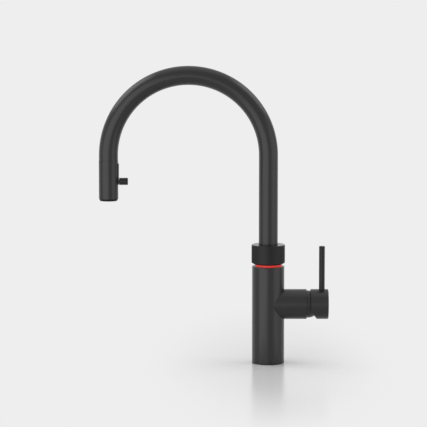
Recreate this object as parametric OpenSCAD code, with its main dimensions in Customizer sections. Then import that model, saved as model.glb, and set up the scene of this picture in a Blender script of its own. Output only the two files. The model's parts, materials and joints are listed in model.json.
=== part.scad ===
// Boiling water tap with an arched swivelling spout, a pull-out spray head,
// a push-and-turn knob over a light ring, and a single-lever mixer on a side barrel.
// Millimetres. The origin is the centre of the column's foot, on the worktop.
// +Z is up, +X points along the mixer's barrel and the spout's leg hangs at -X.

/* [Column] */
// Outer diameter of the column
column_d = 44.5; // [42:0.5:52]
// Height of the column's top face above the worktop
column_h = 135; // [130:0.5:170]
// Bevel round the column's foot and top
column_bevel = 0.5; // [0.2:0.1:1]
// Diameter of the passage that the hoses share
passage_d = 28; // [27.6:0.2:29.2]
// Thickness of the rubber gasket under the column
gasket_h = 0.8; // [0.5:0.1:2]
// How far the gasket stands back from the column's edge
gasket_inset = 0.4; // [0.2:0.1:1.5]

/* [Worktop clamp] */
// Worktop thickness between the gasket and the rubber washer
worktop_t = 30; // [18:1:50]
// Outer diameter of the shank where it passes the worktop
shank_d = 32.8; // [32:0.1:33.6]
// Length of the shank below the worktop
shank_tail = 34; // [28:1:60]
// Pitch of the shank's thread
thread_pitch = 1.5; // [1:0.25:2]
// Outer diameter of the washers
washer_d = 54; // [48:1:64]
// Thickness of the rubber washer
rubber_washer_t = 3; // [2:0.5:5]
// Thickness of the steel washer
steel_washer_t = 2; // [1:0.5:3]
// Width of the clamp nut across its flats
nut_flats = 46; // [42:1:50]
// Thickness of the clamp nut
nut_t = 9; // [6:0.5:12]

/* [Water inlets] */
// Diameter of the hot, cold and mixed water sockets
socket_d = 6; // [5:0.1:6.2]
// Depth of the inlet sockets
socket_depth = 16; // [12:1:30]
// Diameter of the boiling water line
boil_line_d = 4; // [3.4:0.1:4.2]
// Outer diameter of the spray hose
hose_d = 10; // [9:0.1:10.2]

/* [Mixer barrel] */
// Diameter of the side barrel and of the lever cap
barrel_d = 41.4; // [39.6:0.2:43]
// Height of the mixer's axis above the worktop
barrel_z = 82; // [66:0.2:86]
// Distance of the barrel's end from the column's axis
barrel_end = 52.9; // [48:0.1:70]
// Bevel on the barrel's end
barrel_bevel = 0.3; // [0.2:0.1:0.9]
// Width and depth of the groove where the barrel is seated in the column
joint_groove = 0.4; // [0.2:0.1:0.8]
// Diameter of the dome behind the lever cap
dome_d = 37.8; // [35.8:0.2:38]
// Thickness of the dome's wall
dome_wall = 1.6; // [1:0.1:2]
// Distance of the lever's tilt axis beyond the barrel's end
pivot_out = 1.5; // [1:0.1:2]

/* [Mixer lever] */
// Gap between the barrel's end and the lever cap
cap_gap = 5.7; // [5:0.1:7]
// Length of the lever cap
cap_len = 24.4; // [23:0.2:30]
// Bevel on the cap's outer end
cap_bevel = 0.9; // [0.4:0.1:2]
// Depth below the axis at which the cap's relief cut starts
relief_drop = 6; // [4:0.5:8]
// Angle of the relief cut from the vertical
relief_angle = 31.5; // [30:0.5:35]
// Diameter of the lever rod
rod_d = 8; // [6:0.1:8]
// Height of the rod's top above the mixer's axis
rod_top = 80.5; // [60:0.5:110]
// Distance of the rod's axis from the cap's outer end
rod_inset = 9; // [8.6:0.1:10.4]

/* [Mixer cartridge] */
// Outer diameter of the cartridge body
cartridge_d = 25; // [24:0.2:26]
// Wall of the cartridge body
cartridge_wall = 1.7; // [1.2:0.1:1.9]
// Diameter of the turning rotor
rotor_d = 18.8; // [18:0.2:19.2]
// Diameter of the sliding ceramic disc and its driver
disc_d = 14.8; // [14:0.2:15.2]
// Thickness of each ceramic disc
disc_t = 3; // [2.5:0.1:3.2]
// Distance between the tilt axis and the peg that drives the disc
peg_arm = 12; // [11.6:0.1:12.2]
// Diameter of the pivot pin
pivot_pin_d = 3; // [2:0.1:3.6]
// Width of the stem between the rotor's cheeks
stem_w = 6; // [5:0.1:6.6]
// Height of the stem outside the rotor
stem_h = 7; // [6:0.1:7.4]
// Diameter of the grub screw that holds the cap on the stem
grub_d = 4; // [3:0.5:4]

/* [Knob and light ring] */
// Outer diameter of the knurled knob
knob_d = 46; // [44:0.5:52]
// Height of the knob
knob_h = 27; // [26:0.2:36]
// How far the knob can be pushed down
press_travel = 2.5; // [1.5:0.1:3]
// Height of the bevel under the knob
lip_h = 2; // [1:0.1:3]
// Bevel on the knob's top edge
knob_bevel = 0.6; // [0.2:0.1:1]
// Thickness of the knob's top plate
knob_plate = 1.6; // [1.2:0.1:2]
// Outer diameter of the red light ring
ring_d = 36.6; // [35.4:0.2:38]
// Diameter of the return spring's wire
spring_wire = 1.2; // [0.8:0.1:1.3]
// Number of turns of the return spring
spring_turns = 3.5; // [2.5:0.5:4.5]
// Height of the sleeve that the knob turns on
sleeve_h = 7; // [6:0.5:8]
// Turn of the knob between off and boiling
knob_turn = 90; // [45:5:120]
// Diameter of the two sensor magnets in the knob
magnet_d = 3; // [2:0.5:4]

/* [Spout] */
// Outer diameter of the spout tube
tube_d = 26.2; // [25.2:0.1:26.4]
// Wall of the spout tube
tube_wall = 1.2; // [1:0.1:1.3]
// Distance between the column's axis and the leg's axis
reach = 219.5; // [160:0.5:260]
// Height at which the arch begins
spring_z = 288.1; // [240:0.1:360]
// Length of the tube's straight end on the leg
leg_len = 7.3; // [2:0.1:30]
// Swivel of the spout from stop to stop
swivel_angle = 270; // [180:5:300]
// Wall of the sleeve between the spout and the knob
spigot_wall = 1.4; // [1.2:0.1:1.6]
// Height of each glide ring
glide_h = 6; // [4:0.5:7]

/* [Spray head] */
// Outer diameter of the spray head
head_d = 26.6; // [26.4:0.1:27.4]
// Length of the spray head
head_len = 55.2; // [54:0.1:70]
// Height of the dark rim round the outlet
rim_h = 3.1; // [2:0.1:4]
// How far the rim's bevel comes in
rim_bevel = 1.6; // [1:0.1:2.2]
// Depth of the spout's plug in the head
dock_depth = 10.7; // [8:0.1:10.7]
// Diameter of the aerator
aerator_d = 11.2; // [9:0.1:12]
// Number of spray holes
spray_holes = 16; // [8:1:20]
// Distance of the selector pin below the seam between the head and the spout
pin_drop = 28.6; // [27:0.1:30]
// Diameter of the selector pin
pin_d = 9.8; // [8.4:0.1:10]
// Distance of the pin's tip from the leg's axis
pin_reach = 26.6; // [20:0.05:34]
// Travel of the selector pin
pin_travel = 12; // [6:0.5:12]
// How far the selector's plate stands proud of the head
plate_t = 1.1; // [0.8:0.05:2]
// Width of the selector's plate
plate_w = 8; // [7:0.1:8.4]
// Height of the selector's plate
plate_h = 29; // [27:0.5:30]

/* [Hidden] */
$fn = 72;
eps = 0.01;

// Clearances
run_gap = 0.05;      // radial gap of a turning or sliding fit
loose_gap = 0.3;     // between pieces that pass each other
face_gap = 0.1;      // between faces that meet only at a stop

// Radii of the column and of what stands in its top
column_r = column_d / 2;
passage_r = passage_d / 2;
tube_r = tube_d / 2;
spigot_bore_r = tube_r + 1.15;
spigot_r = spigot_bore_r + spigot_wall;
spigot_foot_r = spigot_r + 1.1;
ring_r = ring_d / 2;
ring_bore_r = spigot_r + 0.2;
ring_seat_r = ring_r + run_gap;
knob_r = knob_d / 2;
knob_bore_r = ring_r + 0.5;
lip_r = knob_bore_r + 0.75;
sleeve_r = knob_bore_r - 1.6 * run_gap;

// Heights in the column, from the manifold up
mixer_r = barrel_d / 2;
port_rise = 4.3;
port_drop = 6.2;
port_r = 2.4;
chamber_depth = 12;
chamber_z = barrel_z + port_rise + port_r + 3.1;
manifold_top = chamber_z + chamber_depth;
ring_sink = 4.5;
board_t = 1.5;
board_z = column_h - ring_sink - board_t;
knob_gap = press_travel + 0.4;
knob_z = column_h + knob_gap;
ring_top = knob_z + 2.4;
spring_washer_t = 0.8;
spring_z0 = ring_top + spring_washer_t;
clip_t = 1;
knob_floor = knob_z + knob_h - knob_plate;
spigot_top = knob_floor - press_travel - 0.2;
clip_z = spigot_top - 0.4 - clip_t;
sleeve_z = clip_z - face_gap - sleeve_h;
spring_len = sleeve_z - spring_z0;
clip_bite = 0.5;
clip_out = 1.6;
knob_step_r = spigot_r + clip_out + loose_gap;
knob_clip_t = 1.2;
knob_clip_z = sleeve_z - knob_clip_t - 0.2;
turn_lug = 14;
lug_depth = 1.3;
key_half = 1.5;
key_out = 1;
magnet_len = 2.6;
magnet_rise = 5.4;

// Shank and worktop clamp
shank_r = shank_d / 2;
thread_r = shank_r - 0.3;
thread_depth = 0.6;
shank_socket_r = shank_r - 0.6;
shank_socket_top = 12;
manifold_z = shank_socket_top + 2;
washer_bore_r = shank_r + 0.4;
clamp_z = -worktop_t;

// Water lines
hose_r = hose_d / 2;
hose_wall = 1.6;
hose_bore_r = hose_r + 0.4;
socket_r = socket_d / 2;
manifold_r = passage_r - face_gap;
socket_pitch = (hose_bore_r + manifold_r) / 2;
socket_spread = 50;
port_y = socket_pitch * sin(socket_spread) - 0.9;
boil_r = boil_line_d / 2;
boil_wall = 0.7;
boil_pitch = hose_bore_r + 1.4 + boil_r;
line_rest = 3;       // how far the boiling line ends from the bottom of its chamber or plug
chamber_in_r = boil_pitch - boil_r - loose_gap;
chamber_out_r = boil_pitch + boil_r + loose_gap + 0.2;
coupling_h = 16;
coupling_drop = 4;
coupling_top_z = clamp_z - shank_tail - coupling_drop;
coupling_r = hose_r + 1;
coupling_flat = hose_r + 0.3;
coupling_bore_r = 3.5;
coupling_bore_len = 11;
coupling_in_r = 2.5;

// Distances along the mixer's axis from the barrel's end, negative inside the barrel
cartridge_r = cartridge_d / 2;
rotor_r = rotor_d / 2;
mouth_r = cartridge_r + 4;
nut_x = -4.9;
flange_x = -6.9;
back_x = -22.9;
seal_t = 1;
seat_x = back_x - seal_t;
fixed_disc_x = -18.9;
moving_disc_x = fixed_disc_x + disc_t + face_gap;
driver_x = moving_disc_x + disc_t;
driver_top_x = -8.6;
rotor_flange_t = 1.2;
lip_x = -7.1;
rotor_flange_x = lip_x - face_gap - rotor_flange_t;
rotor_end_x = 5.1;
skirt_x = -1.4;
cartridge_bore_r = cartridge_r - cartridge_wall;
slot_half = stem_w / 2 + face_gap;
rotor_slot_h = 7.5;
peg_r = 2;
peg_gap = 0.15;
arm_half = 1.2;
disc_rest = -2.5;
seal_x = -4;
seal_w = 1.4;
seal_depth = 0.8;

// Dome and lever cap
skirt_wall = 1.2;
dome_r = dome_d / 2;
dome_hole_r = 12.3;
cavity_r = dome_r + 0.4;
cap_x = cap_gap;
cap_end = cap_gap + cap_len;
rod_x = cap_end - rod_inset;
rod_r = rod_d / 2;
rod_foot = sqrt(pow(cavity_r, 2) - pow(rod_x - rod_r - pivot_out, 2)) + 2;
stem_end = pivot_out + cavity_r + 5.2;
grub_x = stem_end - 2.3;
grub_len = 10;
grub_hex_depth = 2;
plug_t = 1.5;

// Spout swivel
spout_foot_z = manifold_top + 2;
lower_glide_z = spout_foot_z + 3;
stop_z = board_z + 6;
stop_screw_r = 2;
stop_lug_h = 4;
upper_glide_z = spigot_top - 3 - glide_h;
glide_t = 1.5;
glide_r = tube_r + glide_t + run_gap;
groove_r = tube_r - 0.65;
groove_z = spout_foot_z + 1;
groove_h = 1.2;
lug_r = spigot_bore_r - loose_gap;
stop_width = 2 * asin(stop_screw_r / (tube_r + 0.5));
lug_angle = 360 - swivel_angle - stop_width - 2;

// Spray head, on the leg's axis
head_r = head_d / 2;
head_z = spring_z - leg_len - head_len;
seam_z = head_z + head_len;
head_bore_r = tube_r - tube_wall + 0.05;
plug_r = head_bore_r - loose_gap;
dock_z = seam_z - dock_depth;
tail_z = seam_z - face_gap;
body_top_z = dock_z - loose_gap;
body_z = head_z + rim_h + 1.9;
connector_len = 12;
valve_len = 12;
connector_z = body_top_z - connector_len;
connector_top_z = body_top_z - 1.5;
valve_z = connector_z - valve_len;
pin_z = seam_z - pin_drop;
pin_r = pin_d / 2;
neck_r = 2;
neck_sink = 1.5;      // how far the neck goes into the spool beyond its axis
valve_r = 4.2;
valve_bore_r = 1.8;
valve_seat = 1;
connector_bore_r = 2.6;
outlet_r = 3;
head_magnet_r = 1.8;
head_magnet_len = 3;
head_magnet_pitch = hose_bore_r + 3;
spool_x = boil_pitch;
spool_r = 2.6;
spool_h = 8;
spool_room = 10;
slot_w = 2 * neck_r + 0.4;
slot_z = pin_z - neck_r - loose_gap;
slot_h = pin_travel + 2 * (neck_r + loose_gap);
plate_z = pin_z - 4;
spray_plate_r = head_r - rim_bevel - 0.95;
spray_plate_z = head_z + 0.8;
spray_plate_t = 2.5;
aerator_r = aerator_d / 2;
aerator_wall = 1;
aerator_room = 5.5;
aerator_sink = 0.4;
mesh_sink = 1.4;
mesh_t = 0.8;
spray_hole_r = 0.6;

// A ring between two radii, from height z up
module ring(outer, inner, z, h) {
    difference() {
        translate([0, 0, z]) cylinder(r = outer, h = h);
        translate([0, 0, z - eps]) cylinder(r = inner, h = h + 2 * eps);
    }
}

// A disc whose lower and upper edges are bevelled
module bevelled(r, z, h, low, high) {
    rotate_extrude()
        polygon([[0, z], [r - low, z], [r, z + low], [r, z + h - high], [r - high, z + h], [0, z + h]]);
}

// Children stand on the mixer's axis, x from the barrel's end, and point along +X
module on_mixer(x) {
    translate([barrel_end + x, 0, barrel_z]) rotate([0, 90, 0]) children();
}

module at_leg() {
    translate([-reach, 0, 0]) children();
}

// A round line along the spout's arch, at an offset outside its centre line
module arch_line(r, offset, column_z, leg_z) {
    translate([offset, 0, column_z]) cylinder(r = r, h = spring_z - column_z);
    translate([-reach / 2, 0, spring_z]) rotate([90, 0, 0])
        rotate_extrude(angle = 180) translate([reach / 2 + offset, 0]) circle(r = r);
    translate([-reach - offset, 0, leg_z]) cylinder(r = r, h = spring_z - leg_z);
}

// The vertical sockets of hot and cold water, one on each side, or of mixed water in the middle
module socket_places(angles) {
    for (a = angles) rotate([0, 0, a]) translate([socket_pitch, 0, 0]) children();
}

// The passages between the manifold and the cartridge's back: x is where they begin
module mixer_ports(x, len) {
    for (side = [-1, 1])
        translate([x, side * port_y, barrel_z + port_rise]) rotate([0, 90, 0]) cylinder(r = port_r, h = len);
    translate([x, 0, barrel_z - port_drop]) rotate([0, 90, 0]) cylinder(r = port_r, h = len);
}

// ---- column and what is fixed in it

module body_column() color("#2b2b2a") difference() {
    union() {
        bevelled(column_r, gasket_h, column_h - gasket_h, column_bevel, column_bevel);
        on_mixer(-barrel_end) bevelled(mixer_r, 0, barrel_end, 0, barrel_bevel);
    }
    translate([0, 0, -eps]) cylinder(r = shank_socket_r, h = shank_socket_top + eps);
    cylinder(r = passage_r, h = column_h);
    translate([0, 0, manifold_top]) cylinder(r = spigot_foot_r, h = column_h);
    translate([0, 0, board_z]) cylinder(r = ring_seat_r, h = column_h);
    on_mixer(seat_x) cylinder(r = cartridge_r + 0.25, h = -seat_x + eps);
    on_mixer(flange_x) cylinder(r = mouth_r, h = -flange_x + eps);
    mixer_ports(0, barrel_end + seat_x + eps);
    barrel_joint();
}

// Groove in the column's surface, all round the barrel's root
module barrel_joint() difference() {
    on_mixer(-barrel_end) ring(mixer_r + joint_groove, mixer_r, 0, column_r + 1);
    cylinder(r = column_r - joint_groove, h = column_h);
}

module base_gasket() color("#161616") ring(column_r - gasket_inset, shank_r + 0.2, 0, gasket_h);

module mounting_shank() color("#b9a06a") difference() {
    union() {
        translate([0, 0, clamp_z]) cylinder(r = shank_r, h = worktop_t);
        cylinder(r = shank_socket_r, h = shank_socket_top);
        shank_thread();
    }
    translate([0, 0, clamp_z - shank_tail - eps])
        cylinder(r = passage_r, h = worktop_t + shank_tail + shank_socket_top + 2 * eps);
}

// Thread grooves of the shank, as rings between the plain part and the lower end
module shank_thread() {
    grooves = floor(shank_tail / thread_pitch) - 1;
    tail_z = clamp_z - shank_tail;
    rotate_extrude() polygon(concat(
        [[0, tail_z], [thread_r - thread_depth, tail_z]],
        [for (i = [0 : grooves - 1], step = [0, 1])
            [thread_r - thread_depth * (1 - step), tail_z + (i + step / 2 + 0.5) * thread_pitch]],
        [[thread_r - thread_depth, tail_z + (grooves + 0.5) * thread_pitch],
         [thread_r - thread_depth, clamp_z], [0, clamp_z]]));
}

module rubber_washer() color("#1c1c1c")
    ring(washer_d / 2, washer_bore_r, clamp_z - rubber_washer_t, rubber_washer_t);

module clamp_washer() color("#c4c6c8")
    ring(washer_d / 2, washer_bore_r, clamp_z - rubber_washer_t - steel_washer_t, steel_washer_t);

module clamp_nut() color("#b9a06a") {
    nut_z = clamp_z - rubber_washer_t - steel_washer_t - nut_t;
    difference() {
        translate([0, 0, nut_z]) cylinder(r = nut_flats / sqrt(3), h = nut_t, $fn = 6);
        translate([0, 0, nut_z - eps]) cylinder(r = thread_r, h = nut_t + 2 * eps);
    }
}

module water_manifold() color("#c9b37c") difference() {
    translate([0, 0, manifold_z]) cylinder(r = manifold_r, h = manifold_top - manifold_z);
    translate([0, 0, manifold_z - eps]) cylinder(r = hose_bore_r, h = manifold_top);
    // hot and cold water, up to their ports
    socket_places([-socket_spread, socket_spread]) {
        translate([0, 0, manifold_z - eps]) cylinder(r = socket_r, h = socket_depth);
        translate([0, 0, manifold_z]) cylinder(r = port_r, h = barrel_z + port_rise - manifold_z);
    }
    // mixed water, from its port down
    socket_places([0]) {
        translate([0, 0, manifold_z - eps]) cylinder(r = socket_r, h = socket_depth);
        translate([0, 0, manifold_z]) cylinder(r = port_r, h = barrel_z - port_drop - manifold_z);
    }
    mixer_ports(socket_pitch * cos(socket_spread), passage_r);
    // boiling water, up to the ring-shaped chamber that lets the spout turn
    translate([-boil_pitch, 0, manifold_z - eps]) {
        cylinder(r = boil_r, h = manifold_top - manifold_z);
        cylinder(r = boil_r + 0.6, h = socket_depth);
    }
    ring(chamber_out_r, chamber_in_r, chamber_z, chamber_depth + eps);
}

module knob_spigot() color("#c9b37c") difference() {
    union() {
        translate([0, 0, manifold_top]) cylinder(r = spigot_foot_r, h = board_z - manifold_top);
        translate([0, 0, manifold_top]) cylinder(r = spigot_r, h = spigot_top - manifold_top);
        sleeve_keys();
    }
    translate([0, 0, manifold_top - eps]) cylinder(r = spigot_bore_r, h = spigot_top);
    for (z = [lower_glide_z, upper_glide_z]) translate([0, 0, z]) cylinder(r = glide_r, h = glide_h);
    ring(spigot_r + key_out + eps, spigot_r - clip_bite, clip_z, clip_t);
    rotate([0, 0, 90]) translate([0, 0, stop_z]) rotate([0, 90, 0]) cylinder(r = stop_screw_r, h = knob_r);
}

// Two keys that let the sleeve slide but not turn
module sleeve_keys() {
    key_in_r = spigot_r - spigot_wall / 2;
    for (side = [0, 180]) rotate([0, 0, side])
        translate([key_in_r, -key_half, sleeve_z + loose_gap])
            cube([spigot_r + key_out - key_in_r, 2 * key_half, sleeve_h - loose_gap]);
}

module lower_glide_ring() color("#e8e6df")
    ring(glide_r, tube_r + run_gap, lower_glide_z, glide_h);

module upper_glide_ring() color("#e8e6df")
    ring(glide_r, tube_r + run_gap, upper_glide_z, glide_h);

module thrust_washer() color("#e8e6df")
    ring(spigot_bore_r - 0.4, chamber_out_r + 0.1, manifold_top, spout_foot_z - manifold_top - face_gap);

// Grub screw in the spigot; its tip reaches in front of the lug on the spout
module swivel_stop_screw() color("#8d8f91") rotate([0, 0, 90])
    translate([tube_r + loose_gap, 0, stop_z]) rotate([0, 90, 0])
        cylinder(r = stop_screw_r, h = spigot_r - tube_r - loose_gap);

module light_board() color("#1e5a34") ring(ring_r - 0.1, ring_bore_r, board_z, board_t);

module light_ring() color("#e04038") ring(ring_r, ring_bore_r, board_z + board_t, ring_top - board_z - board_t);

module spring_washer() color("#c4c6c8") ring(ring_r, ring_bore_r, ring_top, spring_washer_t);

// Points on the spring's wire, once round it, at one turn angle
function wire_ring(mean_r, wire_r, angle, z, sides) = [
    for (s = [0 : sides - 1])
        let (w = mean_r + wire_r * cos(360 * s / sides))
        [w * cos(angle), w * sin(angle), z + wire_r * sin(360 * s / sides)]];

module return_spring() color("#c4c6c8") {
    sides = 8;
    steps = round(24 * spring_turns);
    wire_r = spring_wire / 2;
    mean_r = spigot_r + 0.4 + wire_r;
    rise = spring_len - spring_wire - 2 * eps;
    points = [for (i = [0 : steps]) each wire_ring(
        mean_r, wire_r, 360 * spring_turns * i / steps,
        spring_z0 + eps + wire_r + rise * i / steps, sides)];
    walls = [for (i = [0 : steps - 1], s = [0 : sides - 1])
        let (a = i * sides + s, b = i * sides + (s + 1) % sides) [a, a + sides, b + sides, b]];
    start = [[for (s = [0 : sides - 1]) s]];
    end = [[for (s = [sides - 1 : -1 : 0]) steps * sides + s]];
    polyhedron(points = points, faces = concat(start, walls, end));
}

module carrier_clip() color("#8d8f91") ring(spigot_r + clip_out, spigot_r - clip_bite, clip_z, clip_t);

// ---- mixer cartridge and dome, fixed in the barrel

module cartridge_body() color("#3f6f8f") difference() {
    union() {
        on_mixer(back_x) cylinder(r = cartridge_r, h = flange_x - back_x);
        on_mixer(flange_x) cylinder(r = mouth_r - 0.7, h = nut_x - flange_x);
        on_mixer(flange_x) cylinder(r = cartridge_r - 1.3, h = skirt_x - 0.5 - flange_x);
    }
    on_mixer(fixed_disc_x) cylinder(r = cartridge_bore_r, h = lip_x - fixed_disc_x);
    on_mixer(fixed_disc_x) cylinder(r = rotor_r + run_gap, h = -fixed_disc_x);
    mixer_ports(0, barrel_end);
}

module port_seals() color("#161616") {
    for (p = [[-port_rise, -port_y], [-port_rise, port_y], [port_drop, 0]])
        on_mixer(seat_x) translate(p) ring(port_r + 1.1, port_r, 0, seal_t);
}

module fixed_disc() color("#efece4") difference() {
    on_mixer(fixed_disc_x) cylinder(r = cartridge_bore_r, h = disc_t);
    mixer_ports(0, barrel_end);
}

module cartridge_nut() color("#c9b37c") difference() {
    on_mixer(nut_x) cylinder(r = mouth_r, h = skirt_x - nut_x);
    on_mixer(nut_x - eps) cylinder(r = cartridge_r - 1.1, h = skirt_x - nut_x + 2 * eps);
    // two notches for the spanner
    for (side = [0, 180]) on_mixer(skirt_x - 1.5) rotate([0, 0, side])
        translate([cartridge_r - 2, -2, 0]) cube([mouth_r, 4, 2]);
}

module dome_cover() color("#2b2b2a") difference() {
    union() {
        on_mixer(skirt_x) cylinder(r = mouth_r, h = -skirt_x);
        intersection() {
            on_mixer(pivot_out) sphere(r = dome_r);
            on_mixer(0) cylinder(r = dome_r, h = dome_r * 2);
        }
    }
    intersection() {
        on_mixer(pivot_out) sphere(r = dome_r - dome_wall);
        on_mixer(skirt_x - eps) cylinder(r = mouth_r - skirt_wall, h = dome_r * 2);
    }
    on_mixer(skirt_x - eps) cylinder(r = dome_hole_r, h = dome_r * 2);
}

// ---- knob

module push_sleeve() color("#e8e6df") difference() {
    ring(sleeve_r, spigot_r + run_gap, sleeve_z, sleeve_h);
    sleeve_keyways();
    // the sector in which the knob's lug turns
    translate([0, 0, sleeve_z - eps]) rotate([0, 0, 90 - turn_lug / 2 - 1])
        rotate_extrude(angle = knob_turn + turn_lug + 2)
            translate([sleeve_r - lug_depth, 0]) square([2 * lug_depth, sleeve_h + 1]);
}

// Keyways of the sleeve, wider than the spigot's keys
module sleeve_keyways() {
    half = key_half + face_gap;
    for (side = [0, 180]) rotate([0, 0, side]) translate([0, -half, sleeve_z - eps])
        cube([spigot_r + key_out + face_gap, 2 * half, sleeve_h + 2 * eps]);
}

module boil_knob() color("#242423") {
    difference() {
        bevelled_knob();
        translate([0, 0, knob_z - eps]) cylinder(r = knob_bore_r, h = clip_z - knob_z);
        translate([0, 0, knob_z]) cylinder(r = knob_step_r, h = knob_floor - knob_z);
        translate([0, 0, knob_z]) cylinder(r = tube_r + 0.4, h = knob_h + eps);
        ring(knob_bore_r + clip_bite, knob_bore_r - 1, knob_clip_z, knob_clip_t);
        magnet_places();
    }
    // lug that stops the turn, in the sleeve's sector
    translate([0, 0, sleeve_z + 0.5]) rotate([0, 0, 90 - turn_lug / 2])
        rotate_extrude(angle = turn_lug) translate([sleeve_r - lug_depth + loose_gap, 0])
            square([knob_bore_r - sleeve_r + lug_depth, sleeve_h - 0.5]);
}

module bevelled_knob() {
    top = knob_z + knob_h;
    rotate_extrude() polygon([
        [0, knob_z], [lip_r, knob_z], [knob_r, knob_z + lip_h],
        [knob_r, top - knob_bevel], [knob_r - knob_bevel, top], [0, top]]);
}

// Two magnets set into the knob's bore, one on each side
module magnet_places() {
    for (side = [-90, 90]) rotate([0, 0, side]) translate([knob_bore_r, 0, knob_z + magnet_rise])
        rotate([0, 90, 0]) cylinder(r = magnet_d / 2, h = magnet_len);
}

module knob_magnets() color("#a9abad") intersection() {
    magnet_places();
    ring(knob_r, knob_bore_r + 0.1, knob_z, knob_h);
}

module knob_clip() color("#8d8f91") ring(knob_bore_r + clip_bite, knob_step_r + 0.2, knob_clip_z, knob_clip_t);

// ---- spout

module spout_tube() color("#2b2b2a") difference() {
    arch_line(tube_r, 0, spout_foot_z, seam_z);
    arch_line(tube_r - tube_wall, 0, spout_foot_z - eps, seam_z - eps);
    ring(tube_r + 1, groove_r, groove_z, groove_h);
}

module spout_clip() color("#8d8f91") ring(spigot_bore_r - 0.2, groove_r, groove_z, groove_h);

// Lug on the spout that meets the stop screw at each end of the swivel
module stop_lug() color("#c9b37c") translate([0, 0, stop_z - stop_lug_h / 2])
    rotate([0, 0, 180 - lug_angle / 2]) rotate_extrude(angle = lug_angle)
        translate([tube_r, 0]) square([lug_r - tube_r, stop_lug_h]);

module boil_line() color("#d9d4c8") difference() {
    arch_line(boil_r, boil_pitch, chamber_z + line_rest, dock_z + line_rest);
    arch_line(boil_r - boil_wall, boil_pitch, chamber_z + line_rest - eps, dock_z + line_rest - eps);
}

module spray_hose() color("#4a4a4c") difference() {
    arch_line(hose_r, 0, coupling_top_z, seam_z);
    arch_line(hose_r - hose_wall, 0, coupling_top_z - eps, seam_z - eps);
}

module hose_coupling() color("#c9b37c") difference() {
    translate([0, 0, coupling_top_z - coupling_h]) cylinder(r = coupling_r, h = coupling_h);
    // two flats for a spanner
    for (side = [0, 180]) rotate([0, 0, side])
        translate([coupling_flat, -coupling_r, coupling_top_z - coupling_h / 2 - 2]) cube([2, 2 * coupling_r, 5]);
    translate([0, 0, coupling_top_z - coupling_h - eps]) cylinder(r = coupling_bore_r, h = coupling_bore_len + eps);
    translate([0, 0, coupling_top_z - coupling_h]) cylinder(r = coupling_in_r, h = coupling_h + eps);
}

// Plug in the leg's end that guides the hose and takes the head's socket
module dock_block() color("#3b3b3b") at_leg() difference() {
    union() {
        translate([0, 0, seam_z]) cylinder(r = tube_r - tube_wall, h = leg_len);
        translate([0, 0, dock_z]) cylinder(r = plug_r, h = dock_depth + eps);
    }
    translate([0, 0, dock_z - eps]) cylinder(r = hose_bore_r, h = dock_depth + leg_len + 1);
    translate([-boil_pitch, 0, dock_z - eps]) cylinder(r = boil_r, h = dock_depth + leg_len + 1);
    head_magnet_places(dock_z - eps, head_magnet_len + eps);
}

// Two magnets beside the hose, on each side of the dock's face
module head_magnet_places(z, h) {
    for (side = [-1, 1]) translate([0, side * head_magnet_pitch, z]) cylinder(r = head_magnet_r, h = h);
}

module dock_magnets() color("#a9abad") at_leg() head_magnet_places(dock_z, head_magnet_len);

// ---- spray head

// The slot of the pin's neck, from the spool's bore out through the plate
module selector_slot() {
    translate([spool_x, -slot_w / 2, slot_z]) cube([head_r + plate_t - spool_x + 1, slot_w, slot_h]);
}

module head_shell() color("#2b2b2a") at_leg() difference() {
    ring(head_r, head_bore_r, head_z + rim_h, tail_z - head_z - rim_h);
    selector_slot();
}

module head_body() color("#3b3b3b") at_leg() difference() {
    translate([0, 0, body_z]) cylinder(r = head_bore_r - 0.05, h = body_top_z - body_z);
    translate([0, 0, body_z - eps]) cylinder(r = outlet_r, h = body_top_z);
    translate([0, 0, body_z - eps]) cylinder(r = aerator_r, h = aerator_room);
    translate([0, 0, valve_z]) cylinder(r = valve_r, h = connector_z - valve_z + eps);
    translate([0, 0, connector_z]) cylinder(r = hose_bore_r, h = body_top_z - connector_z + eps);
    // boiling water from the spout's line to the outlet
    translate([-boil_pitch, 0, body_z - eps]) cylinder(r = boil_r, h = body_top_z);
    // bore of the selector's spool, and its slot
    translate([spool_x, 0, pin_z - spool_h / 2 - spool_room]) cylinder(r = spool_r + run_gap, h = body_top_z);
    selector_slot();
    head_magnet_places(body_top_z - head_magnet_len, head_magnet_len + eps);
}

module head_magnets() color("#a9abad") at_leg()
    head_magnet_places(body_top_z - head_magnet_len, head_magnet_len);

module hose_connector() color("#c9b37c") at_leg()
    ring(hose_bore_r, connector_bore_r, connector_z, connector_top_z - connector_z);

module check_valve() color("#d8d2c0") at_leg() 
    ring(valve_r, valve_bore_r, valve_z + valve_seat, connector_z - valve_z - valve_seat);

// Dark rim round the outlet, bevelled outside
module nozzle_rim() color("#101010") at_leg() difference() {
    rotate_extrude() polygon([
        [0, head_z], [head_r - rim_bevel, head_z], [head_r, head_z + rim_h],
        [head_bore_r - 0.05, head_z + rim_h], [head_bore_r - 0.05, body_z], [0, body_z]]);
    translate([0, 0, head_z - eps]) cylinder(r = spray_plate_r, h = body_z - head_z + 2 * eps);
}

module spray_plate() color("#1a1a1a") at_leg() difference() {
    translate([0, 0, spray_plate_z]) cylinder(r = spray_plate_r, h = spray_plate_t);
    translate([0, 0, spray_plate_z - eps]) cylinder(r = aerator_r, h = spray_plate_t + 2 * eps);
    for (i = [0 : spray_holes - 1]) rotate([0, 0, i * 360 / spray_holes])
        translate([(aerator_r + spray_plate_r) / 2, 0, spray_plate_z - eps])
            cylinder(r = spray_hole_r, h = spray_plate_t + 2 * eps, $fn = 16);
}

module aerator_housing() color("#262626") at_leg()
    ring(aerator_r, aerator_r - aerator_wall, head_z + aerator_sink,
        body_z + aerator_room - head_z - aerator_sink - eps);

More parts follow.
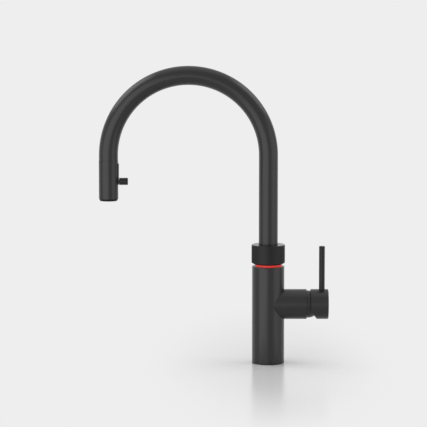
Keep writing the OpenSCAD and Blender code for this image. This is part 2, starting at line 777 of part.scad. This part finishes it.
module aerator_mesh() color("#9a9c9e") at_leg() difference() {
    mesh_z = head_z + mesh_sink;
    mesh_r = aerator_r - aerator_wall;
    hole = 0.9;
    pitch = 1.5;
    translate([0, 0, mesh_z]) cylinder(r = mesh_r, h = mesh_t);
    for (x = [-3 : 3], y = [-3 : 3]) if (norm([x, y]) * pitch < mesh_r - hole)
        translate([x * pitch - hole / 2, y * pitch - hole / 2, mesh_z - eps]) cube([hole, hole, mesh_t + 2 * eps]);
}

module selector_plate() color("#1b1b1b") at_leg() difference() {
    intersection() {
        bevelled(head_r + plate_t, plate_z, plate_h, 0, 0.8 * plate_t);
        translate([0, -plate_w / 2, plate_z]) cube([head_r + plate_t, plate_w, plate_h]);
    }
    translate([0, 0, plate_z - eps]) cylinder(r = head_r, h = plate_h + 2 * eps);
    selector_slot();
}

module hose_tail() color("#4a4a4c") at_leg()
    ring(hose_r, hose_r - hose_wall, connector_top_z, tail_z - connector_top_z);

// Pin with a thin neck that runs in the plate's slot
module selector_pin() color("#1f1f1f") at_leg() translate([0, 0, pin_z]) rotate([0, 90, 0]) {
    pin_foot = head_r + plate_t + loose_gap;
    translate([0, 0, spool_x - neck_sink]) cylinder(r = neck_r, h = pin_foot - spool_x + neck_sink);
    bevelled(pin_r, pin_foot, pin_reach - pin_foot, 0, 0.5);
}

module selector_spool() color("#d8d2c0") at_leg() difference() {
    translate([spool_x, 0, pin_z - spool_h / 2]) cylinder(r = spool_r, h = spool_h);
    translate([spool_x - neck_sink, 0, pin_z]) rotate([0, 90, 0]) cylinder(r = neck_r, h = spool_r + neck_sink);
}

// ---- moving part of the mixer

module rotor() color("#e8e6df") difference() {
    union() {
        on_mixer(rotor_flange_x) cylinder(r = rotor_r + 1.2, h = rotor_flange_t);
        on_mixer(rotor_flange_x) cylinder(r = rotor_r, h = rotor_end_x - rotor_flange_x);
    }
    translate([barrel_end + rotor_flange_x - eps, -slot_half, barrel_z - rotor_slot_h])
        cube([rotor_end_x - rotor_flange_x + 2 * eps, 2 * slot_half, 2 * rotor_slot_h]);
    on_mixer(pivot_out) rotate([90, 0, 0]) cylinder(r = pivot_pin_d / 2, h = barrel_d, center = true);
    on_mixer(seal_x) ring(rotor_r + 1, rotor_r - seal_depth, 0, seal_w);
}

module rotor_seal() color("#161616") on_mixer(seal_x) ring(rotor_r, rotor_r - seal_depth, 0, seal_w);

module pivot_pin() color("#c4c6c8") on_mixer(pivot_out) rotate([90, 0, 0])
    cylinder(r = pivot_pin_d / 2, h = 2 * rotor_r - 1.2, center = true);

module moving_disc() color("#efece4") translate([0, 0, disc_rest]) difference() {
    on_mixer(moving_disc_x) cylinder(r = disc_d / 2, h = disc_t);
    on_mixer(moving_disc_x - eps) cylinder(r = 4, h = 1.2);
}

module disc_driver() color("#3f6f8f") difference() {
    translate([0, 0, disc_rest]) on_mixer(driver_x) cylinder(r = disc_d / 2, h = driver_top_x - driver_x);
    translate([barrel_end + pivot_out - peg_arm - peg_r - loose_gap, -slot_half, barrel_z - peg_r - peg_gap])
        cube([10, 2 * slot_half, 2 * (peg_r + peg_gap)]);
}

// Stem: a hub on the pivot pin, an arm with a peg into the disc driver, and a bar out to the cap
module stem() color("#b9a06a") difference() {
    translate([barrel_end + pivot_out, 0, barrel_z]) union() {
        rotate([90, 0, 0]) cylinder(r = 4, h = stem_w, center = true);
        translate([-peg_arm, 0, 0]) rotate([90, 0, 0]) cylinder(r = peg_r, h = stem_w, center = true);
        translate([-peg_arm, -stem_w / 2, -arm_half]) cube([peg_arm, stem_w, 2 * arm_half]);
        translate([0, -stem_w / 2, -stem_h / 2]) cube([stem_end - pivot_out, stem_w, stem_h]);
    }
    on_mixer(pivot_out) rotate([90, 0, 0])
        cylinder(r = pivot_pin_d / 2 + run_gap, h = barrel_d, center = true);
}

module mixer_cap() color("#2b2b2a") difference() {
    on_mixer(cap_x) bevelled(mixer_r, 0, cap_len, 0, cap_bevel);
    on_mixer(pivot_out) sphere(r = cavity_r);
    // relief that lets the cap tilt towards the barrel
    translate([barrel_end + cap_x, 0, barrel_z - relief_drop]) rotate([0, -relief_angle, 0])
        translate([-barrel_d, -barrel_d, -barrel_d]) cube([barrel_d, 2 * barrel_d, barrel_d]);
    translate([barrel_end, -stem_w / 2, barrel_z - stem_h / 2]) cube([stem_end, stem_w, stem_h]);
    translate([barrel_end + rod_x, 0, barrel_z + rod_foot]) cylinder(r = rod_r, h = rod_top);
    translate([barrel_end + grub_x, 0, barrel_z - barrel_d]) cylinder(r = grub_d / 2, h = barrel_d);
}

module lever_rod() color("#2b2b2a") translate([barrel_end + rod_x, 0, barrel_z])
    bevelled(rod_r, rod_foot, rod_top - rod_foot, 0, 0.4);

module grub_screw() color("#8d8f91") difference() {
    translate([barrel_end + grub_x, 0, barrel_z - stem_h / 2 - grub_len]) cylinder(r = grub_d / 2, h = grub_len);
    translate([barrel_end + grub_x, 0, barrel_z - stem_h / 2 - grub_len - eps])
        cylinder(r = grub_d / 4, h = grub_hex_depth, $fn = 6);
}

module screw_plug() color("#1b1b1b")
    translate([barrel_end + grub_x, 0, barrel_z - mixer_r + 0.3]) cylinder(r = grub_d / 2, h = plug_t);

body_column();
base_gasket();
mounting_shank();
rubber_washer();
clamp_washer();
clamp_nut();
water_manifold();
knob_spigot();
lower_glide_ring();
upper_glide_ring();
thrust_washer();
swivel_stop_screw();
light_board();
light_ring();
spring_washer();
return_spring();
carrier_clip();
cartridge_body();
port_seals();
fixed_disc();
cartridge_nut();
dome_cover();
push_sleeve();
boil_knob();
knob_clip();
knob_magnets();
spout_tube();
spout_clip();
stop_lug();
boil_line();
spray_hose();
hose_coupling();
dock_block();
dock_magnets();
head_shell();
head_body();
hose_connector();
check_valve();
head_magnets();
nozzle_rim();
spray_plate();
aerator_housing();
aerator_mesh();
selector_plate();
hose_tail();
selector_pin();
selector_spool();
rotor();
pivot_pin();
rotor_seal();
moving_disc();
disc_driver();
stem();
mixer_cap();
lever_rod();
grub_screw();
screw_plug();
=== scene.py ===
import json
import math

import bmesh
import bpy
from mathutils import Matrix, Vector

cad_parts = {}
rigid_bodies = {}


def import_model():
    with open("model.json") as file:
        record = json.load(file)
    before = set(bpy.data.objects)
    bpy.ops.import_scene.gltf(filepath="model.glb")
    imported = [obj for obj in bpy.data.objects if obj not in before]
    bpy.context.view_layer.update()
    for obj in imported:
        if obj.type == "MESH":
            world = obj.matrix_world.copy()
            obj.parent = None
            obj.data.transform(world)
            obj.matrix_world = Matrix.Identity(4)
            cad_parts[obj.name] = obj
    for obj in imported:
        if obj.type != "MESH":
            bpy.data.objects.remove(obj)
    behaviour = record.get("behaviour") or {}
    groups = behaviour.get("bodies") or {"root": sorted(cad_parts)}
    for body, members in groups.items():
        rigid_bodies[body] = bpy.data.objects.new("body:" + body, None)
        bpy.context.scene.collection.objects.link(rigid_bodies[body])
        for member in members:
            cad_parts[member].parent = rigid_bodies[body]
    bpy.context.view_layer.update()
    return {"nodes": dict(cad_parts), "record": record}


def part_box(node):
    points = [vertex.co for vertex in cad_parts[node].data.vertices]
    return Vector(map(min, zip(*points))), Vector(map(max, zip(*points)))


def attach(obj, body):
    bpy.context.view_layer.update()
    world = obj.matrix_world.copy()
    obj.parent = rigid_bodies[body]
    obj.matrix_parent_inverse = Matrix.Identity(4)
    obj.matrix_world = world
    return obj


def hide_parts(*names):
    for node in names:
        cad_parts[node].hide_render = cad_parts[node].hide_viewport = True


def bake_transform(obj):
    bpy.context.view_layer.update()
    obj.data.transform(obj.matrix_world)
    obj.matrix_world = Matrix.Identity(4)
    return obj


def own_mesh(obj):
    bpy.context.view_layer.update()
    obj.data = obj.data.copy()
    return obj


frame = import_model()
cadNodes = frame["nodes"]
bpy.ops.object.select_all(action="DESELECT")
print("frame loaded:", len(cadNodes), "nodes")

mm = 0.001
weld = 0.002 * mm  # points closer than this are made one


class Wire:
    # a socket that can stand in an expression
    def __init__(self, bench, socket):
        self.bench = bench
        self.socket = socket

    def __add__(self, other):
        return self.bench.maths("ADD", self, other)

    def __sub__(self, other):
        return self.bench.maths("SUBTRACT", self, other)

    def __rsub__(self, other):
        return self.bench.maths("SUBTRACT", other, self)

    def __mul__(self, other):
        return self.bench.maths("MULTIPLY", self, other)

    def __gt__(self, other):
        return self.bench.maths("GREATER_THAN", self, other)

    __radd__ = __add__
    __rmul__ = __mul__


class Bench:
    # the nodes of one material or of the world
    def __init__(self, owner, place):
        owner.use_nodes = True
        self.tree = owner.node_tree
        self.place = self.node("ShaderNodeTexCoord", out=place)

    def node(self, kind, settings=None, values=None, out=0):
        made = self.tree.nodes.new(kind)
        for key, value in (settings or {}).items():
            setattr(made, key, value)
        for key, value in (values or {}).items():
            self.feed(made.inputs[key], value)
        return Wire(self, made.outputs[out])

    def feed(self, socket, value):
        if isinstance(value, Wire):
            self.tree.links.new(value.socket, socket)
        else:
            socket.default_value = value

    def maths(self, operation, *values):
        return self.node("ShaderNodeMath", {"operation": operation}, dict(enumerate(values)))

    def noise(self, size, detail=2.0, where=None):
        return self.node("ShaderNodeTexNoise", {}, {
            "Vector": where or self.place, "Scale": 1 / size, "Detail": detail})

    def mix(self, factor, dark, light):
        return self.node("ShaderNodeMix", {"data_type": "RGBA"}, {0: factor, 6: dark, 7: light}, out=2)

    def bump(self, height, depth):
        return self.node("ShaderNodeBump", {}, {"Height": height, "Distance": depth, "Strength": 1.0})

    def stretched(self, x, y, z):
        return self.node("ShaderNodeMapping", {}, {"Vector": self.place, "Scale": (x, y, z)})

    def axes(self):
        split = self.node("ShaderNodeSeparateXYZ", {}, {0: self.place}).socket.node
        return [Wire(self, output) for output in split.outputs]


class Paint(Bench):
    # one material; its shader's sockets are given by name
    def __init__(self, name, **fixed):
        self.material = bpy.data.materials.new(name)
        super().__init__(self.material, "Object")
        self.shader = self.tree.nodes["Principled BSDF"]
        self.give(**fixed)

    def give(self, **inputs):
        for key, value in inputs.items():
            self.feed(self.shader.inputs[key.replace("_", " ")], value)

    def mottle(self, surface, fine, coarse, dark, light, roughness, depth):
        # colour, roughness and relief that wander with a fine and a coarse pattern
        share = surface["fineShare"]
        fineSpan, coarseSpan = surface["roughnessSpans"]
        self.give(Base_Color=self.mix(fine * share + coarse * (1 - share), dark, light),
                  Roughness=fine * fineSpan + coarse * coarseSpan + (roughness - (fineSpan + coarseSpan) / 2),
                  Normal=self.bump(fine, depth))
        return self.material


def grey(level):
    return (level, level, level, 1)


coat = {"colour": 0.016, "spread": 0.002, "shine": 0.35, "roughness": 0.26, "polished": 0.13,
        "grain": 0.35 * mm, "cloud": 40 * mm, "depth": 0.005 * mm, "fineShare": 0.6,
        "roughnessSpans": (0.06, 0.08)}


def blackCoat(name, level=1.0, roughness=coat["roughness"], shine=coat["shine"], polishedFrom=None):
    paint = Paint(name, Specular_IOR_Level=shine)
    if polishedFrom:  # a smooth end face above this height
        height = paint.axes()[2]
        roughness = roughness - (height > polishedFrom) * (roughness - coat["polished"])
    dark, light = coat["colour"] - coat["spread"], coat["colour"] + coat["spread"]
    return paint.mottle(coat, paint.noise(coat["grain"], detail=3.0), paint.noise(coat["cloud"]),
                        grey(dark * level), grey(light * level), roughness, coat["depth"])


moulded = {"grain": 0.5 * mm, "cloud": 15 * mm, "depth": 0.01 * mm, "fineShare": 0.4,
           "roughnessSpans": (0.1, 0.08)}


def plastic(name, dark, light, roughness, depth=moulded["depth"], **fixed):
    paint = Paint(name, **fixed)
    return paint.mottle(moulded, paint.noise(moulded["grain"], detail=3.0), paint.noise(moulded["cloud"]),
                        (*dark, 1), (*light, 1), roughness, depth)


lathed = {"ring": 0.4 * mm, "stretch": (0.15, 0.15, 1.0), "cloud": 12 * mm, "depth": 0.008 * mm,
          "fineShare": 0.3, "roughnessSpans": (0.16, 0.1)}


def turnedMetal(name, dark, light, roughness):
    paint = Paint(name, Metallic=1.0)
    rings = paint.noise(lathed["ring"], where=paint.stretched(*lathed["stretch"]))
    return paint.mottle(lathed, rings, paint.noise(lathed["cloud"], detail=3.0),
                        (*dark, 1), (*light, 1), roughness, lathed["depth"])


lens = {"body": ((0.38, 0.020, 0.015, 1), (0.46, 0.030, 0.024, 1)),
        "glow": ((0.55, 0.036, 0.028, 1), (0.62, 0.046, 0.038, 1)), "strength": 0.68, "shine": 0.25,
        "roughness": 0.4, "frostSpan": 0.15, "frost": 0.3 * mm, "cloud": 6 * mm, "depth": 0.01 * mm}


def redLens():
    paint = Paint("redLens", Emission_Strength=lens["strength"], Specular_IOR_Level=lens["shine"])
    cloud = paint.noise(lens["cloud"])
    frost = paint.noise(lens["frost"])
    paint.give(Base_Color=paint.mix(cloud, *lens["body"]), Emission_Color=paint.mix(cloud, *lens["glow"]),
               Roughness=frost * lens["frostSpan"] + lens["roughness"],
               Normal=paint.bump(frost, lens["depth"]))
    return paint.material


board = {"tracksPerMetre": 300.0, "gap": 0.02, "lacquer": ((0.02, 0.13, 0.05, 1), (0.015, 0.10, 0.04, 1)),
         "copper": (0.03, 0.22, 0.09, 1), "cloud": 4 * mm, "roughness": 0.3, "roughnessSpan": 0.1}


def circuitBoard():
    paint = Paint("circuitBoard")
    tracks = paint.node("ShaderNodeTexBrick", {}, {
        "Vector": paint.place, "Scale": board["tracksPerMetre"], "Mortar Size": board["gap"],
        "Color1": board["lacquer"][0], "Color2": board["lacquer"][1], "Mortar": board["copper"]})
    cloud = paint.noise(board["cloud"])
    paint.give(Base_Color=tracks, Roughness=cloud * board["roughnessSpan"] + board["roughness"])
    return paint.material


braid = {"lean": 0.8, "skew": 0.6, "waves": 4200, "dark": 0.02, "light": 0.09, "weaveShare": 0.7,
         "shine": 0.4, "roughness": 0.45, "roughnessSpan": 0.12, "cloud": 5 * mm, "depth": 0.12 * mm}


def hoseBraid():
    # two sets of crossing strands round the hose
    paint = Paint("hoseBraid", Specular_IOR_Level=braid["shine"])
    x, y, z = paint.axes()
    cloud = paint.noise(braid["cloud"])
    strands = [paint.maths("SINE", (z + x * lean + y * braid["skew"]) * braid["waves"])
               for lean in (braid["lean"], -braid["lean"])]
    weave = paint.maths("MAXIMUM", *strands) * 0.5 + 0.5
    share = braid["weaveShare"]
    tone = paint.mix(weave * share + cloud * (1 - share), grey(braid["dark"]), grey(braid["light"]))
    paint.give(Base_Color=tone, Roughness=cloud * braid["roughnessSpan"] + braid["roughness"],
               Normal=paint.bump(weave, braid["depth"]))
    return paint.material


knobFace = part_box("boil_knob")[1].z - 0.3 * mm  # just under the knob's top face
finishes = {
    "black_coat": blackCoat("blackCoat"),
    "black_knurl": blackCoat("knurlCoat", level=0.7, roughness=0.42, shine=0.21, polishedFrom=knobFace),
    "rubber": plastic("rubber", (0.010, 0.010, 0.010), (0.018, 0.018, 0.018), 0.7),
    "steel": turnedMetal("steel", (0.50, 0.51, 0.52), (0.62, 0.63, 0.64), 0.3),
    "brass": turnedMetal("brass", (0.50, 0.36, 0.15), (0.66, 0.50, 0.25), 0.3),
    "white_plastic": plastic("acetal", (0.70, 0.69, 0.65), (0.80, 0.79, 0.75), 0.4),
    "ceramic": plastic("ceramic", (0.80, 0.79, 0.74), (0.88, 0.87, 0.82), 0.18, depth=0.002 * mm),
    "red_lens": redLens(),
    "circuit_board": circuitBoard(),
    "blue_plastic": plastic("bluePlastic", (0.04, 0.13, 0.24), (0.07, 0.19, 0.33), 0.4),
    "hose_cover": hoseBraid(),
    "silicone": plastic("silicone", (0.52, 0.49, 0.43), (0.64, 0.61, 0.54), 0.45),
    "dark_plastic": plastic("darkPlastic", (0.009, 0.009, 0.009), (0.015, 0.015, 0.015), 0.5,
                            Specular_IOR_Level=0.15),
    "magnet": turnedMetal("nickel", (0.55, 0.55, 0.53), (0.66, 0.66, 0.64), 0.2),
}
# painted shade: a darker and rougher copy of the black coat for the selector pin, selector plate and lever
# rod, which sit in shade
shadedCoat = blackCoat("shadedCoat", level=0.75, roughness=0.34, shine=0.24)
shadedNodes = ("selector_pin", "selector_plate", "lever_rod")  # these parts take the darker, rougher coat as painted shade


def dressNodes():
    for part in frame["record"]["subparts"]:
        mesh = cadNodes[part["node"]].data
        mesh.materials.clear()
        mesh.materials.append(shadedCoat if part["node"] in shadedNodes else finishes[part["material_slot"]])


view = {"focus": (-0.0754, 0, 0.2078), "distance": 3.575, "pitch": 6.76, "focalPixels": 2600,
        "imagePixels": 427, "sensor": 36, "clipEnd": 50}


def placeCamera():
    data = bpy.data.cameras.new("photoView")
    data.sensor_width = view["sensor"]
    data.lens = data.sensor_width * view["focalPixels"] / view["imagePixels"]
    data.clip_end = view["clipEnd"]
    camera = bpy.data.objects.new("photoView", data)
    bpy.context.collection.objects.link(camera)
    pitch = math.radians(view["pitch"])
    back = Vector((0, -math.cos(pitch), math.sin(pitch))) * view["distance"]
    camera.location = Vector(view["focus"]) + back
    camera.rotation_euler = (math.pi / 2 - pitch, 0, 0)
    bpy.context.scene.camera = camera


lampTarget = (-0.05, 0, 0.2)
lamps = [
    {"name": "leftBox", "at": (-1.275, -1.63, 0.2), "size": (2.54, 2.2), "watts": 24.5},
    {"name": "rightBox", "at": (1.876, -0.875, 0.2), "size": (1.27, 2.2), "watts": 7.2},
    {"name": "leftTop", "at": (-1.5, 0.3, 1.7), "size": (1.2, 1.8), "watts": 14},
    {"name": "rightTop", "at": (1.5, 0.3, 1.7), "size": (1.2, 1.8), "watts": 11},
    {"name": "topBox", "at": (0.0, 0.1, 2.2), "size": (1.6, 1.8), "watts": 3.8},
]


def placeLamps():
    for lamp in lamps:
        data = bpy.data.lights.new(lamp["name"], "AREA")
        data.shape = "RECTANGLE"
        data.size, data.size_y = lamp["size"]
        data.energy = lamp["watts"]
        light = bpy.data.objects.new(lamp["name"], data)
        bpy.context.collection.objects.link(light)
        light.visible_camera = False
        light.location = lamp["at"]
        light.rotation_euler = (Vector(lampTarget) - light.location).to_track_quat("-Z", "Z").to_euler()


room = {"seen": 0.855, "cast": 0.36}  # the pale backdrop as it is seen, and the light it casts on its own


def lightWorld():
    world = bpy.data.worlds.new("room")
    bpy.context.scene.world = world
    bench = Bench(world, "Generated")
    camera, glossy, clear = [bench.node("ShaderNodeLightPath", out=ray)
                             for ray in ("Is Camera Ray", "Is Glossy Ray", "Is Transmission Ray")]
    seen = bench.mix(camera + glossy + clear, grey(room["cast"]), grey(room["seen"]))
    backdrop = bench.node("ShaderNodeBackground", {}, {"Color": seen})
    bench.feed(bench.tree.nodes["World Output"].inputs[0], backdrop)


ground = {"size": 1.3, "dark": 0.90, "light": 0.92, "cloud": 300 * mm, "shine": 0.4, "roughness": 0.19,
          "roughnessSpan": 0.05, "fadeFrom": 0.10, "fadeTo": 0.55, "sidewaysFade": 3.0}


def layFloor():
    # real floor near the object, which the camera sees fade into the flat backdrop
    # other rays pass through its far part to the room, and it is clear from below
    bpy.ops.mesh.primitive_plane_add(size=ground["size"], location=(0, 0, 0))
    floor = bpy.context.object
    floor.name = "floor"
    paint = Paint("paleFloor", Specular_IOR_Level=ground["shine"])
    cloud = paint.noise(ground["cloud"])
    paint.give(Base_Color=paint.mix(cloud, grey(ground["dark"]), grey(ground["light"])),
               Roughness=cloud * ground["roughnessSpan"] + ground["roughness"])
    away = paint.node("ShaderNodeVectorMath", {"operation": "LENGTH"},
                      {0: paint.stretched(ground["sidewaysFade"], 1.0, 1.0)}, out="Value")
    fade = paint.node("ShaderNodeMapRange", {"interpolation_type": "SMOOTHSTEP"}, {
        "Value": away, "From Min": ground["fadeFrom"], "From Max": ground["fadeTo"]})
    flat = paint.node("ShaderNodeEmission", {}, {"Color": grey(room["seen"])})
    clear = paint.node("ShaderNodeBsdfTransparent")

    def blend(factor, first, second):
        return paint.node("ShaderNodeMixShader", {}, {0: factor, 1: first, 2: second})

    far = blend(paint.node("ShaderNodeLightPath", out="Is Camera Ray"), clear, flat)
    top = blend(fade, Wire(paint, paint.shader.outputs[0]), far)
    surface = blend(paint.node("ShaderNodeNewGeometry", out="Backfacing"), top, clear)
    paint.feed(paint.tree.nodes["Material Output"].inputs[0], surface)
    floor.data.materials.append(paint.material)
    floor.select_set(False)


def pickPoints(test):
    # edit mode: selects the points that pass the test
    body = bmesh.from_edit_mesh(bpy.context.object.data)
    bpy.ops.mesh.select_mode(type="VERT")
    bpy.ops.mesh.select_all(action="DESELECT")
    for point in body.verts:
        if test(point.co):
            point.select_set(True)
    bmesh.update_edit_mesh(bpy.context.object.data)


def turned(name, outline, steps):
    # one point drawn along the closed outline (radius, height) in millimetres and spun round the z axis
    bpy.ops.object.select_all(action="DESELECT")
    bpy.ops.mesh.primitive_plane_add(size=mm, location=(0, 0, 0))
    piece = bpy.context.object
    piece.name = name
    bpy.ops.object.mode_set(mode="EDIT")
    bpy.ops.mesh.select_all(action="SELECT")
    bpy.ops.mesh.merge(type="CENTER")
    here = (0, 0)
    for count, (radius, height) in enumerate(outline + outline[:1]):
        step = ((radius - here[0]) * mm, 0, (height - here[1]) * mm)
        if count == 0:
            bpy.ops.transform.translate(value=step)
        else:
            bpy.ops.mesh.extrude_vertices_move(TRANSFORM_OT_translate={"value": step})
        here = (radius, height)
    bpy.ops.mesh.select_all(action="SELECT")
    bpy.ops.mesh.spin(steps=steps, angle=2 * math.pi, center=(0, 0, 0), axis=(0, 0, 1))
    closeMesh()
    return piece


def closeMesh():
    bpy.ops.mesh.select_all(action="SELECT")
    bpy.ops.mesh.remove_doubles(threshold=weld)
    bpy.ops.mesh.normals_make_consistent(inside=False)


def finishPiece(piece, slot, body=None, replaced=(), angle=35):
    bpy.ops.object.mode_set(mode="OBJECT")
    bpy.ops.object.transform_apply(location=True, rotation=True, scale=True)
    bpy.ops.object.shade_smooth_by_angle(angle=math.radians(angle))
    piece.data.materials.clear()
    piece.data.materials.append(finishes[slot])
    if body:
        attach(piece, body)
    if replaced:
        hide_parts(*replaced)
    piece.select_set(False)
    print(piece.name, "made:", len(piece.data.polygons), "faces")


knob = {"bore": 18.8, "lip": 19.55, "lipHeight": 2.0, "lipInset": 0.12, "topBevel": 0.6, "topInset": 0.1,
        "bevelMiddle": (0.4, 0.3), "hole": 13.5, "holeBevel": 0.4, "step": 17.55, "stepHeight": 21.3,
        "plate": 1.6, "knurlFoot": 2.6, "knurlHead": 1.3, "teeth": 96, "rows": 30, "toothDepth": 0.36,
        "rowSlack": 0.2, "skinSlack": 0.05}


def makeKnob():
    low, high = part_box("boil_knob")
    radius, foot, top = high.x / mm, low.z / mm, high.z / mm
    knurlFoot, knurlTop = foot + knob["knurlFoot"], top - knob["knurlHead"]
    rise = (knurlTop - knurlFoot) / knob["rows"]
    rows = [(radius, knurlFoot + rise * row) for row in range(knob["rows"] + 1)]
    bevel, inset, holeBevel = knob["topBevel"], knob["topInset"], knob["holeBevel"]
    inwards, down = knob["bevelMiddle"]
    ledge, ceiling = foot + knob["stepHeight"], top - knob["plate"]
    outline = [(knob["bore"], foot), (knob["lip"], foot),
               (radius - knob["lipInset"], foot + knob["lipHeight"]), *rows,
               (radius - inset, top - bevel - inset), (radius - bevel * inwards, top - bevel * down),
               (radius - bevel, top), (knob["hole"] + holeBevel, top), (knob["hole"], top - holeBevel),
               (knob["hole"], ceiling), (knob["step"], ceiling), (knob["step"], ledge), (knob["bore"], ledge)]
    piece = turned("knurledKnob", outline, steps=2 * knob["teeth"])
    across = math.pi / knob["teeth"]
    skin = (radius - knob["skinSlack"]) * mm

    def isGroove(point):
        # every second point of the knurl's rows and columns
        place = (point.z / mm - knurlFoot) / rise
        row = round(place)
        if abs(place - row) > knob["rowSlack"] or not 0 < row < knob["rows"] or point.xy.length < skin:
            return False
        column = round(math.atan2(point.y, point.x) / across)
        return (row + column) % 2 == 0

    pickPoints(isGroove)
    shrink = 1 - knob["toothDepth"] / radius
    bpy.ops.transform.resize(value=(shrink, shrink, 1), center_override=(0, 0, 0))
    finishPiece(piece, "black_knurl", "boil_knob", ["boil_knob"], angle=25)


hose = {"radius": 5.0, "wall": 1.6, "rows": 60, "sides": 48}


def makeHose():
    low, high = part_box("hose_tail")
    foot, top = low.z / mm, high.z / mm
    axis = (low.x + high.x) / 2
    rows = [(hose["radius"], foot + (top - foot) * row / hose["rows"]) for row in range(hose["rows"] + 1)]
    inner = hose["radius"] - hose["wall"]
    piece = turned("pullOutHose", [(inner, foot), *rows, (inner, top)], steps=hose["sides"])
    bpy.ops.mesh.select_all(action="SELECT")
    bpy.ops.transform.translate(value=(axis, 0, 0))
    finishPiece(piece, "hose_cover", replaced=["hose_tail"], angle=40)
    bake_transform(piece)


nub = {"count": 16, "ring": 8.175, "hole": 0.6, "foot": 1.15, "tip": 0.95, "bevel": 0.15, "height": 0.6,
       "root": 0.3, "sides": 16}


def makeNubs():
    # soft spray nubs round the aerator, one turned and the others copied
    low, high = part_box("spray_plate")
    axis = (low.x + high.x) / 2
    face = low.z / mm
    root, tip = face + nub["root"], face - nub["height"]
    outline = [(nub["hole"], root), (nub["hole"], tip), (nub["tip"] - nub["bevel"], tip),
               (nub["tip"], tip + nub["bevel"]), (nub["foot"], face), (nub["foot"], root)]
    first = turned("sprayNubs", outline, steps=nub["sides"])
    bpy.ops.mesh.select_all(action="SELECT")
    bpy.ops.transform.translate(value=(nub["ring"] * mm, 0, 0))
    bpy.ops.object.mode_set(mode="OBJECT")
    for count in range(1, nub["count"]):
        bpy.ops.object.select_all(action="DESELECT")
        first.select_set(True)
        bpy.context.view_layer.objects.active = first
        bpy.ops.object.duplicate(linked=False)
        bpy.context.object.rotation_euler = (0, 0, 2 * math.pi * count / nub["count"])
        bpy.ops.object.transform_apply(location=False, rotation=True, scale=False)
    for piece in bpy.data.objects:
        piece.select_set(piece.name.startswith("sprayNubs"))
    bpy.context.view_layer.objects.active = first
    bpy.ops.object.join()
    first.location = (axis, 0, 0)
    finishPiece(first, "rubber", "spray_head")


coil = {"wire": 1.2, "sides": 16, "turns": 3.5, "stepsPerTurn": 48, "travel": 2.5}


def makeSpring():
    # the return spring of the knob: a circle drawn up a helix, its ends capped
    low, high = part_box("return_spring")
    wire = coil["wire"] / 2 * mm
    bpy.ops.object.select_all(action="DESELECT")
    bpy.ops.mesh.primitive_circle_add(vertices=coil["sides"], radius=wire, fill_type="NOTHING",
                                      location=(high.x - wire, 0, low.z + wire),
                                      rotation=(math.pi / 2, 0, 0))
    piece = bpy.context.object
    piece.name = "returnSpring"
    bpy.ops.object.transform_apply(location=True, rotation=True, scale=True)
    screw = piece.modifiers.new("helix", "SCREW")
    screw.axis = "Z"
    screw.angle = 2 * math.pi * coil["turns"]
    screw.screw_offset = high.z - low.z - 2 * wire
    screw.steps = int(coil["stepsPerTurn"] * coil["turns"])
    screw.render_steps = screw.steps
    bpy.ops.object.modifier_apply(modifier=screw.name)
    bpy.ops.object.mode_set(mode="EDIT")
    bpy.ops.mesh.select_all(action="SELECT")
    bpy.ops.mesh.remove_doubles(threshold=weld)
    bpy.ops.mesh.select_non_manifold()
    bpy.ops.mesh.edge_face_add()
    closeMesh()
    finishPiece(piece, "steel", "tap_body", ["return_spring"], angle=50)
    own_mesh(piece)


makeKnob()
makeHose()
makeNubs()
makeSpring()

placeCamera()
placeLamps()
lightWorld()
layFloor()
dressNodes()
bpy.context.scene.view_settings.view_transform = "Standard"
print("camera, light, floor and materials set")
